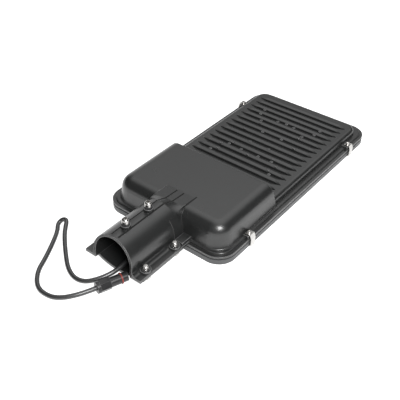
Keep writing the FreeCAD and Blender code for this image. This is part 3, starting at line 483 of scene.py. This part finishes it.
# Painted shade lines: the crest grooves are drawn wider and nearly black as their shade, and the right
# edge of the neck plate gets painted shade on that side only.
CREST_PAINTED_SHADE = PaintedShadeLines(
    places=(-0.0059, 0.0059), width=0.0026,
    runs=(
        PaintedShadeRun(along=(-0.2372, -0.1509), level=(0.0575, 0.0602)),
        PaintedShadeRun(along=(-0.1509, -0.1087), level=(0.0488, 0.0602)),
    ),
)
PLATE_PAINTED_SHADE = PaintedShadeLines(
    places=(-0.0247,), width=0.0022, runs=(PaintedShadeRun(along=(-0.127, -0.104), level=(0.0505, 0.0535)),),
)
# Painted highlight on outer edges; painted shade in hollows and along the crest and plate lines.
HOUSING_COAT = Finish(
    "housing_coat", (0.016, 0.0166, 0.0165), variation=0.06, roughness=(0.27, 0.33),
    pattern=Pattern.PEEL, grain=0.0016, relief=0.00003, edge=0.0012, painted_highlight_tone=0.2, specular=0.75,
    painted_shade_lines=(CREST_PAINTED_SHADE, PLATE_PAINTED_SHADE),
)
FRAME_COAT = Finish(
    "frame_coat", (0.09, 0.092, 0.094), variation=0.05, roughness=(0.38, 0.5),
    pattern=Pattern.PEEL, grain=0.0014, relief=0.00003, edge=0.0006,
)
BRIGHT_STEEL = Finish(
    "bright_steel", (0.52, 0.51, 0.495), variation=0.06, roughness=(0.16, 0.28), metallic=1.0,
    pattern=Pattern.BRUSHED, grain=0.0004, relief=0.000006, edge=0.0003,
)
DARK_STEEL = Finish(
    "dark_steel", (0.035, 0.035, 0.037), variation=0.08, roughness=(0.3, 0.42),
    pattern=Pattern.BRUSHED, grain=0.0004, relief=0.000006, edge=0.0003,
)
CLEAR_GLASS = Finish(
    "clear_glass", (0.93, 0.96, 0.95), variation=0.02, roughness=(0.02, 0.06),
    pattern=Pattern.CLEAR, grain=0.03, relief=0.000004, transmission=1.0,
)
SEAL_RUBBER = Finish("seal_rubber", (0.018, 0.018, 0.018), variation=0.1, roughness=(0.6, 0.75))
BOARD_WHITE = Finish(
    "board_white", (0.8, 0.81, 0.8), variation=0.04, roughness=(0.3, 0.4), grain=0.002,
)
EMITTER_YELLOW = Finish(
    "emitter_yellow", (0.88, 0.66, 0.12), variation=0.1, roughness=(0.2, 0.3), coat=0.6,
)
TRAY_SHEET = Finish(
    "tray_sheet", (0.68, 0.69, 0.7), variation=0.05, roughness=(0.25, 0.4), metallic=1.0,
    pattern=Pattern.BRUSHED, grain=0.0006, relief=0.00001,
)
BATTERY_WRAP = Finish(
    "battery_wrap", (0.03, 0.1, 0.3), variation=0.1, roughness=(0.3, 0.4), coat=0.2,
)
# Painted highlight on the outer edges and painted shade in the hollows.
BLACK_PLASTIC = Finish(
    "black_plastic", (0.018, 0.018, 0.019), variation=0.1, roughness=(0.28, 0.4),
    grain=0.0006, edge=0.0005, painted_highlight_tone=0.16,
)
CABLE_JACKET = Finish(
    "cable_jacket", (0.026, 0.0265, 0.027), variation=0.1, roughness=(0.28, 0.36),
    grain=0.0008, relief=0.00001, specular=0.9,
)
RED_RUBBER = Finish("red_rubber", (0.24, 0.028, 0.02), variation=0.08, roughness=(0.4, 0.5))
CONTACT_BRASS = Finish(
    "contact_brass", (0.75, 0.55, 0.24), variation=0.06, roughness=(0.2, 0.3), metallic=1.0,
    pattern=Pattern.BRUSHED, grain=0.0003, relief=0.000005,
)


class SubAssembly:
    """Group of nodes that are dressed together.

    Attributes:
        FINISHES: Finish of each node of the group.
    """

    FINISHES: dict[str, Finish] = {}

    def __init__(self, nodes: dict[str, bpy.types.Object]) -> None:
        """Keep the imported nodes.

        Args:
            nodes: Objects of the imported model, by name.
        """
        self.nodes = nodes

    def dress(self) -> None:
        """Give each node of the group its finish."""
        for name, finish in self.FINISHES.items():
            mesh = self.nodes[name].data
            mesh.materials.clear()
            mesh.materials.append(finish.material())
            LOG.info("%s: %s, %d faces", name, finish.slot, len(mesh.polygons))

    def place(self, piece: bpy.types.Object, finish: Finish) -> bpy.types.Object:
        """Let an added piece ride on the body and log its finish.

        Args:
            piece: The added piece.
            finish: Its finish.

        Returns:
            The piece.
        """
        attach(piece, BODY)
        LOG.info("%s: added, %s", piece.name, finish.slot)
        return piece


class Recipe:
    """Geometry node tree with named inputs, run once and kept as a plain mesh."""

    def __init__(self, name: str) -> None:
        """Start an empty tree.

        Args:
            name: Name of the tree and of the piece that it makes.
        """
        self.name = name
        self.tree = bpy.data.node_groups.new(name, "GeometryNodeTree")
        self.tree.interface.new_socket("Geometry", in_out="OUTPUT", socket_type="NodeSocketGeometry")
        self.source = self.tree.nodes.new("NodeGroupInput")
        self.sizes: dict[str, Any] = {}

    def size(self, name: str, kind: str, value: Any) -> Socket:
        """Add a named input.

        Args:
            name: Name of the input.
            kind: Kind of the socket, such as Float, Int or Vector.
            value: Value that the piece is made with.

        Returns:
            The input as the nodes read it.
        """
        socket = self.tree.interface.new_socket(name, in_out="INPUT", socket_type="NodeSocket" + kind)
        self.sizes[socket.identifier] = value
        return self.source.outputs[name]

    def node(self, kind: str, **values: Any) -> bpy.types.Node:
        """Add a node and feed its inputs.

        Args:
            kind: Kind of the node, without its prefix.
            **values: Sockets or numbers for its inputs, with underscores for spaces.

        Returns:
            The node.
        """
        made = self.tree.nodes.new("GeometryNode" + kind)
        for name, value in values.items():
            target = made.inputs[name.replace("_", " ")]
            if isinstance(value, Socket):
                self.tree.links.new(value, target)
            else:
                target.default_value = value
        return made

    def bake(self, geometry: Socket, finish: Finish) -> bpy.types.Object:
        """End the tree, run it and keep the result as a plain mesh.

        Args:
            geometry: What the tree makes.
            finish: Finish of the piece.

        Returns:
            The piece, at the origin.
        """
        real = self.node("RealizeInstances", Geometry=geometry)
        dressed = self.node("SetMaterial", Geometry=real.outputs["Geometry"])
        dressed.inputs["Material"].default_value = finish.material()
        sink = self.tree.nodes.new("NodeGroupOutput")
        self.tree.links.new(dressed.outputs["Geometry"], sink.inputs["Geometry"])
        piece = put_in_scene(self.name, bpy.data.meshes.new(self.name))
        modifier = piece.modifiers.new(self.name, "NODES")
        modifier.node_group = self.tree
        for identifier, value in self.sizes.items():
            modifier[identifier] = value
        graph = bpy.context.evaluated_depsgraph_get()
        mesh = bpy.data.meshes.new_from_object(piece.evaluated_get(graph))
        piece.modifiers.clear()
        piece.data = mesh
        return piece


class Housing(SubAssembly):
    """Cast housing and the lower half of its pole clamp."""

    FINISHES = {"back_housing": HOUSING_COAT, "clamp_saddle": HOUSING_COAT}


@dataclass(frozen=True)
class EmitterGrid:
    """Regular grid of light emitters on the board.

    Attributes:
        columns: Emitters along the lamp.
        rows: Emitters across the lamp.
        side_share: Side of an emitter as a multiple of its height.
        dome_share: Radius of a dome as a share of the emitter's side.
        dome_height: Height of a dome, in metres.
        segments: Segments round a dome.
        rings: Rings of the whole sphere that a dome is half of.
    """

    columns: int = 14
    rows: int = 7
    side_share: float = 4.0
    dome_share: float = 0.42
    dome_height: float = 0.0009
    segments: int = 10
    rings: int = 6


class LensUnit(SubAssembly):
    """Lens frame with its glass and gasket, and the light engine behind it."""

    FINISHES = {
        "lens_frame": FRAME_COAT, "glass_cover": CLEAR_GLASS, "seal_gasket": SEAL_RUBBER,
        "led_board": BOARD_WHITE, "led_emitters": EMITTER_YELLOW, "board_screws": BRIGHT_STEEL,
    }

    def add_domes(self, grid: EmitterGrid) -> bpy.types.Object:
        """Set a clear-topped dome on each emitter.

        Args:
            grid: Sizes of the grid.

        Returns:
            The domes as one piece.
        """
        low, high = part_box("led_emitters")
        side = grid.side_share * (high.z - low.z)
        dome_radius = side * grid.dome_share
        flatness = (1.0, 1.0, grid.dome_height / dome_radius)
        middle = ((low.x + high.x) / 2, (low.y + high.y) / 2, low.z)
        recipe = Recipe("emitter_domes")
        columns = recipe.size("Columns", "Int", grid.columns)
        rows = recipe.size("Rows", "Int", grid.rows)
        along = recipe.size("Along", "Float", high.x - low.x - side)
        across = recipe.size("Across", "Float", high.y - low.y - side)
        radius = recipe.size("Dome Radius", "Float", dome_radius)
        flat = recipe.size("Flatness", "Vector", flatness)
        level = recipe.size("Place", "Vector", middle)
        points = recipe.node(
            "MeshGrid", Size_X=along, Size_Y=across, Vertices_X=columns, Vertices_Y=rows,
        )
        dome = recipe.node("MeshUVSphere", Segments=grid.segments, Rings=grid.rings, Radius=radius)
        squat = recipe.node("Transform", Geometry=dome.outputs["Mesh"], Scale=flat)
        copies = recipe.node(
            "InstanceOnPoints", Points=points.outputs["Mesh"], Instance=squat.outputs["Geometry"],
        )
        moved = recipe.node("Transform", Geometry=copies.outputs["Instances"], Translation=level)
        piece = recipe.bake(moved.outputs["Geometry"], EMITTER_YELLOW)
        for polygon in piece.data.polygons:
            polygon.use_smooth = True
        return self.place(piece, EMITTER_YELLOW)


class GearBay(SubAssembly):
    """Tray with the battery and the charge controller, closed in by the gear box."""

    FINISHES = {
        "gear_tray": TRAY_SHEET, "battery_pack": BATTERY_WRAP, "charge_controller": BLACK_PLASTIC,
        "tray_screws": BRIGHT_STEEL,
    }


class RimClips(SubAssembly):
    """Folded strips that hold the lens frame, and their screws."""

    FINISHES = {
        "clip_near_left": BRIGHT_STEEL, "clip_near_right": BRIGHT_STEEL, "clip_far_left": BRIGHT_STEEL,
        "clip_far_right": BRIGHT_STEEL, "clip_screws": BRIGHT_STEEL,
    }


@dataclass(frozen=True)
class StudThread:
    """Thread on the free ends of the clamp bolts.

    Attributes:
        diameter: Outer diameter of the plain shank, in metres.
        pitch: Rise of one turn, in metres.
        ridge: Radius of the thread's ridge, in metres.
        ridge_sides: Sides of the ridge's section.
        steps: Points on one turn.
        bolts_along: Bolts along the socket.
        bolts_across: Bolts across the socket.
        spread: Distance of the bolts across the socket, in metres.
        spacing: Distance of the bolts along the socket, in metres.
        low: Level where the thread starts, in metres.
        high: Level where the thread ends, in metres.
    """

    diameter: float = 0.0076
    pitch: float = 0.00125
    ridge: float = 0.00025
    ridge_sides: int = 5
    steps: int = 24
    bolts_along: int = 2
    bolts_across: int = 2
    spread: float = 0.0824
    spacing: float = 0.0566
    low: float = 0.0198
    high: float = 0.0246


class SocketHardware(SubAssembly):
    """Set screws, lock nuts, bolts and washers of the pole socket."""

    FINISHES = {
        "set_screws": BRIGHT_STEEL, "lock_nuts": DARK_STEEL, "clamp_bolts": BRIGHT_STEEL,
        "clamp_washers": BRIGHT_STEEL,
    }

    def add_threads(self, thread: StudThread) -> bpy.types.Object:
        """Wind a thread round the end of each clamp bolt.

        Args:
            thread: Sizes of the thread.

        Returns:
            The threads as one piece.
        """
        low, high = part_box("clamp_bolts")
        middle = ((low.x + high.x) / 2, (low.y + high.y) / 2, thread.low)
        recipe = Recipe("stud_threads")
        spacing = recipe.size("Spacing", "Float", thread.spacing)
        spread = recipe.size("Spread", "Float", thread.spread)
        radius = recipe.size("Radius", "Float", thread.diameter / 2)
        turns = recipe.size("Turns", "Float", (thread.high - thread.low) / thread.pitch)
        height = recipe.size("Height", "Float", thread.high - thread.low)
        ridge = recipe.size("Ridge", "Float", thread.ridge)
        place = recipe.size("Place", "Vector", middle)
        points = recipe.node(
            "MeshGrid", Size_X=spacing, Size_Y=spread,
            Vertices_X=thread.bolts_along, Vertices_Y=thread.bolts_across,
        )
        helix = recipe.node(
            "CurveSpiral", Resolution=thread.steps, Rotations=turns,
            Start_Radius=radius, End_Radius=radius, Height=height,
        )
        section = recipe.node("CurvePrimitiveCircle", Resolution=thread.ridge_sides, Radius=ridge)
        wound = recipe.node(
            "CurveToMesh", Curve=helix.outputs["Curve"], Profile_Curve=section.outputs["Curve"],
            Fill_Caps=True,
        )
        copies = recipe.node(
            "InstanceOnPoints", Points=points.outputs["Mesh"], Instance=wound.outputs["Mesh"],
        )
        moved = recipe.node("Transform", Geometry=copies.outputs["Instances"], Translation=place)
        return self.place(recipe.bake(moved.outputs["Geometry"], BRIGHT_STEEL), BRIGHT_STEEL)


@dataclass(frozen=True)
class LeadRoute:
    """Free lead from the gland to the connector.

    Attributes:
        diameter: Outer diameter, in metres.
        length: Length along the middle, in metres.
        round_steps: Steps that round a quarter of the section.
        course_steps: Steps of the course from one point to the next.
        offset: Distance of the route's zero from the origin along X, in millimetres.
        points: Route in millimetres.
    """

    diameter: float = 0.0064
    length: float = 0.46
    round_steps: int = 5
    course_steps: int = 10
    offset: float = -246.7
    points: tuple[Point, ...] = (
        (66.0, 0.0, 18.6), (52.0, 0.0, 18.6), (34.0, -4.5, 15.6), (15.0, -8.4, 12.4),
        (-8.0, -5.6, 9.8), (-25.0, 4.4, 6.6), (-35.8, 15.6, 4.2), (-38.8, 30.5, 3.5),
        (-32.6, 49.0, 3.5), (-18.9, 68.3, 3.5), (0.6, 92.2, 4.8), (13.8, 105.8, 7.4),
        (28.1, 116.0, 11.5), (27.4, 125.2, 8.6), (19.4, 127.3, 3.8), (9.7, 116.9, 3.5),
        (-8.6, 104.5, 3.5), (-37.1, 88.1, 3.5), (-61.3, 76.6, 3.5), (-80.2, 55.0, 3.5),
        (-80.6, 31.5, 3.8), (-73.6, 16.4, 5.6), (-60.8, 4.6, 7.5), (-46.67, -3.26, 8.1),
        (-36.4, -7.2, 8.1),
    )

    def metres(self) -> list[Vector]:
        """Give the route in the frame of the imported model.

        Returns:
            The route's points in metres.
        """
        return [Vector((x + self.offset, y, z)) * MM for x, y, z in self.points]


class Lead(SubAssembly):
    """Lead with its gland and its loose connector.

    Attributes:
        CONNECTOR: Nodes on the lead's free end.
    """

    FINISHES = {
        "cable_gland": SEAL_RUBBER, "connector_tail_ring": BLACK_PLASTIC, "connector_nut": BLACK_PLASTIC,
        "connector_shell": BLACK_PLASTIC, "connector_seal": RED_RUBBER, "connector_end": BLACK_PLASTIC,
        "connector_contacts": CONTACT_BRASS,
    }
    CONNECTOR = (
        "connector_tail_ring", "connector_nut", "connector_shell", "connector_seal", "connector_end",
        "connector_contacts",
    )

    def add_cord(self, route: LeadRoute) -> bpy.types.Object:
        """Lay the lead as one smooth curve.

        Args:
            route: Route and sizes of the lead.

        Returns:
            The lead.
        """
        curve = bpy.data.curves.new("lead", "CURVE")
        curve.dimensions = "3D"
        curve.bevel_depth = route.diameter / 2
        curve.bevel_resolution = route.round_steps
        curve.resolution_u = route.course_steps
        curve.use_fill_caps = True
        points = route.metres()
        spline = curve.splines.new("NURBS")
        spline.points.add(len(points) - 1)
        for target, point in zip(spline.points, points):
            target.co = (*point, 1.0)
        spline.order_u = 3
        spline.use_endpoint_u = True
        curve.materials.append(CABLE_JACKET.material())
        piece = put_in_scene("lead", curve)
        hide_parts("power_cable")
        self.place(piece, CABLE_JACKET)
        return piece


@dataclass(frozen=True)
class Softbox:
    """Rectangular studio light that is aimed at a point.

    Attributes:
        name: Name of the light.
        position: Where it hangs, in metres.
        target: What it is aimed at, in metres.
        size: Its two sides, in metres.
        power: Its power, in watts.
    """

    name: str
    position: Point
    target: Point
    size: Span
    power: float

    def hang(self) -> bpy.types.Object:
        """Make the light.

        Returns:
            The light.
        """
        data = bpy.data.lights.new(self.name, "AREA")
        data.shape = "RECTANGLE"
        data.size, data.size_y = self.size
        data.energy = self.power
        light = put_in_scene(self.name, data)
        aim(light, self.position, Vector(self.target) - Vector(self.position))
        LOG.info("%s: light of %.0f W", self.name, self.power)
        return light


@dataclass(frozen=True)
class PhotoCamera:
    """Camera that stands where the photograph was taken.

    Attributes:
        position: Its place, in metres.
        heading: Direction of its view.
        lens: Focal length, in millimetres.
        sensor: Width of the sensor, in millimetres.
        near: Distance from which it sees, in metres.
    """

    position: Point = (-0.6498, -0.4669, 0.6122)
    heading: Point = (0.6077, 0.4864, -0.6277)
    lens: float = 59.4
    sensor: float = 36.0
    near: float = 0.01

    def mount(self) -> bpy.types.Object:
        """Make the camera the scene's own.

        Returns:
            The camera.
        """
        data = bpy.data.cameras.new("photo_camera")
        data.sensor_width = self.sensor
        data.lens = self.lens
        data.clip_start = self.near
        camera = put_in_scene("photo_camera", data)
        aim(camera, self.position, Vector(self.heading))
        bpy.context.scene.camera = camera
        return camera


@dataclass(frozen=True)
class Glow:
    """Soft bright field of the surrounding.

    Attributes:
        heading: Direction of its middle.
        edge: Cosines from that direction between which it fades in.
        level: Brightness outside it and in its middle.
    """

    heading: Point
    edge: Span
    level: Span

    def add_to(self, tree: Tree, place: Socket) -> Socket:
        """Add the glow to a world.

        Args:
            tree: Node tree of the world.
            place: Direction that is looked at.

        Returns:
            Brightness of the glow in that direction.
        """
        nearness = tree.nodes.new("ShaderNodeVectorMath")
        nearness.operation = "DOT_PRODUCT"
        nearness.inputs[1].default_value = Vector(self.heading).normalized()
        tree.links.new(place, nearness.inputs[0])
        return rescaled(tree, nearness.outputs["Value"], self.edge, self.level, smooth=True)


CEILING = Glow(heading=(0.38, 0.16, 0.91), edge=(0.7, 1.0), level=(0.05, 1.85))
BACKDROP = Glow(heading=(0.58, 0.8, 0.14), edge=(0.9, 1.0), level=(0.0, 1.3))
FILL = Glow(heading=(-0.6, -0.5, 0.6), edge=(0.4, 1.0), level=(0.0, 0.4))
FRONT_LIGHT = Softbox(
    "front", position=(-0.57, -0.73, 0.93), target=(-0.125, -0.085, 0.045), size=(0.45, 0.45), power=16.0,
)


@dataclass(frozen=True)
class Studio:
    """Pale floor, soft light and a white surrounding.

    Attributes:
        FLOOR_RAYS: Rays that see the floor white.
        SURROUNDING_RAYS: Rays that see the surrounding white.
        floor_half: Half of the floor's side, in metres.
        floor_colour: Colour of the floor.
        floor_roughness: Roughness of the floor.
        floor_specular: Level of the floor's reflection.
        glows: Bright fields above and behind the lamp, and a weaker one on the camera's side.
        lights: The studio lights.
    """

    FLOOR_RAYS = ("Is Camera Ray", "Is Glossy Ray", "Is Transmission Ray")
    SURROUNDING_RAYS = ("Is Camera Ray", "Is Transmission Ray")

    floor_half: float = 4.0
    floor_colour: Colour = (0.5, 0.5, 0.5)
    floor_roughness: float = 0.8
    floor_specular: float = 0.1
    glows: Sequence[Glow] = (CEILING, BACKDROP, FILL)
    lights: Sequence[Softbox] = (FRONT_LIGHT,)

    def build(self) -> None:
        """Lay the floor, hang the lights and set the surrounding."""
        self.lay_floor()
        for light in self.lights:
            light.hang()
        self.set_surrounding()
        bpy.context.scene.view_settings.view_transform = "Standard"

    def lay_floor(self) -> bpy.types.Object:
        """Make the floor, which is white to the rays that show it.

        Returns:
            The floor.
        """
        half = self.floor_half
        mesh = bpy.data.meshes.new("floor")
        corners = [(-half, -half, 0.0), (half, -half, 0.0), (half, half, 0.0), (-half, half, 0.0)]
        mesh.from_pydata(corners, [], [(0, 1, 2, 3)])
        material = bpy.data.materials.new("floor")
        material.use_nodes = True
        tree = material.node_tree
        shader = tree.nodes["Principled BSDF"]
        shader.inputs["Base Color"].default_value = (*self.floor_colour, 1.0)
        shader.inputs["Roughness"].default_value = self.floor_roughness
        shader.inputs["Specular IOR Level"].default_value = self.floor_specular
        shader.inputs["Emission Color"].default_value = WHITE
        tree.links.new(rays_of(tree, self.FLOOR_RAYS), shader.inputs["Emission Strength"])
        mesh.materials.append(material)
        floor = put_in_scene("floor", mesh)
        return floor

    def set_surrounding(self) -> None:
        """Make the surrounding white to the rays that show it and a sum of soft glows to all others."""
        world = bpy.data.worlds.new("studio")
        world.use_nodes = True
        bpy.context.scene.world = world
        tree = world.node_tree
        backdrop = tree.nodes["Background"]
        backdrop.inputs["Color"].default_value = WHITE
        gradient = tree.nodes.new("ShaderNodeBackground")
        place = tree.nodes.new("ShaderNodeTexCoord").outputs["Generated"]
        total = combined(tree, "ADD", [glow.add_to(tree, place) for glow in self.glows])
        mix = tree.nodes.new("ShaderNodeMixShader")
        links = (
            (total, gradient.inputs["Strength"]),
            (rays_of(tree, self.SURROUNDING_RAYS), mix.inputs["Fac"]),
            (gradient.outputs["Background"], mix.inputs[1]),
            (backdrop.outputs["Background"], mix.inputs[2]),
            (mix.outputs["Shader"], tree.nodes["World Output"].inputs["Surface"]),
        )
        for source, target in links:
            tree.links.new(source, target)


def main() -> None:
    """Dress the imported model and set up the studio."""
    logging.basicConfig(level=logging.INFO, format="%(name)s %(message)s")
    nodes = frame["nodes"]
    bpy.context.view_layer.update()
    PhotoCamera().mount()
    lead = Lead(nodes)
    lead.dress()
    lead.add_cord(LeadRoute())
    Housing(nodes).dress()
    lens = LensUnit(nodes)
    lens.dress()
    lens.add_domes(EmitterGrid())
    GearBay(nodes).dress()
    RimClips(nodes).dress()
    hardware = SocketHardware(nodes)
    hardware.dress()
    hardware.add_threads(StudThread())
    Studio().build()


if __name__ == "__main__":
    main()
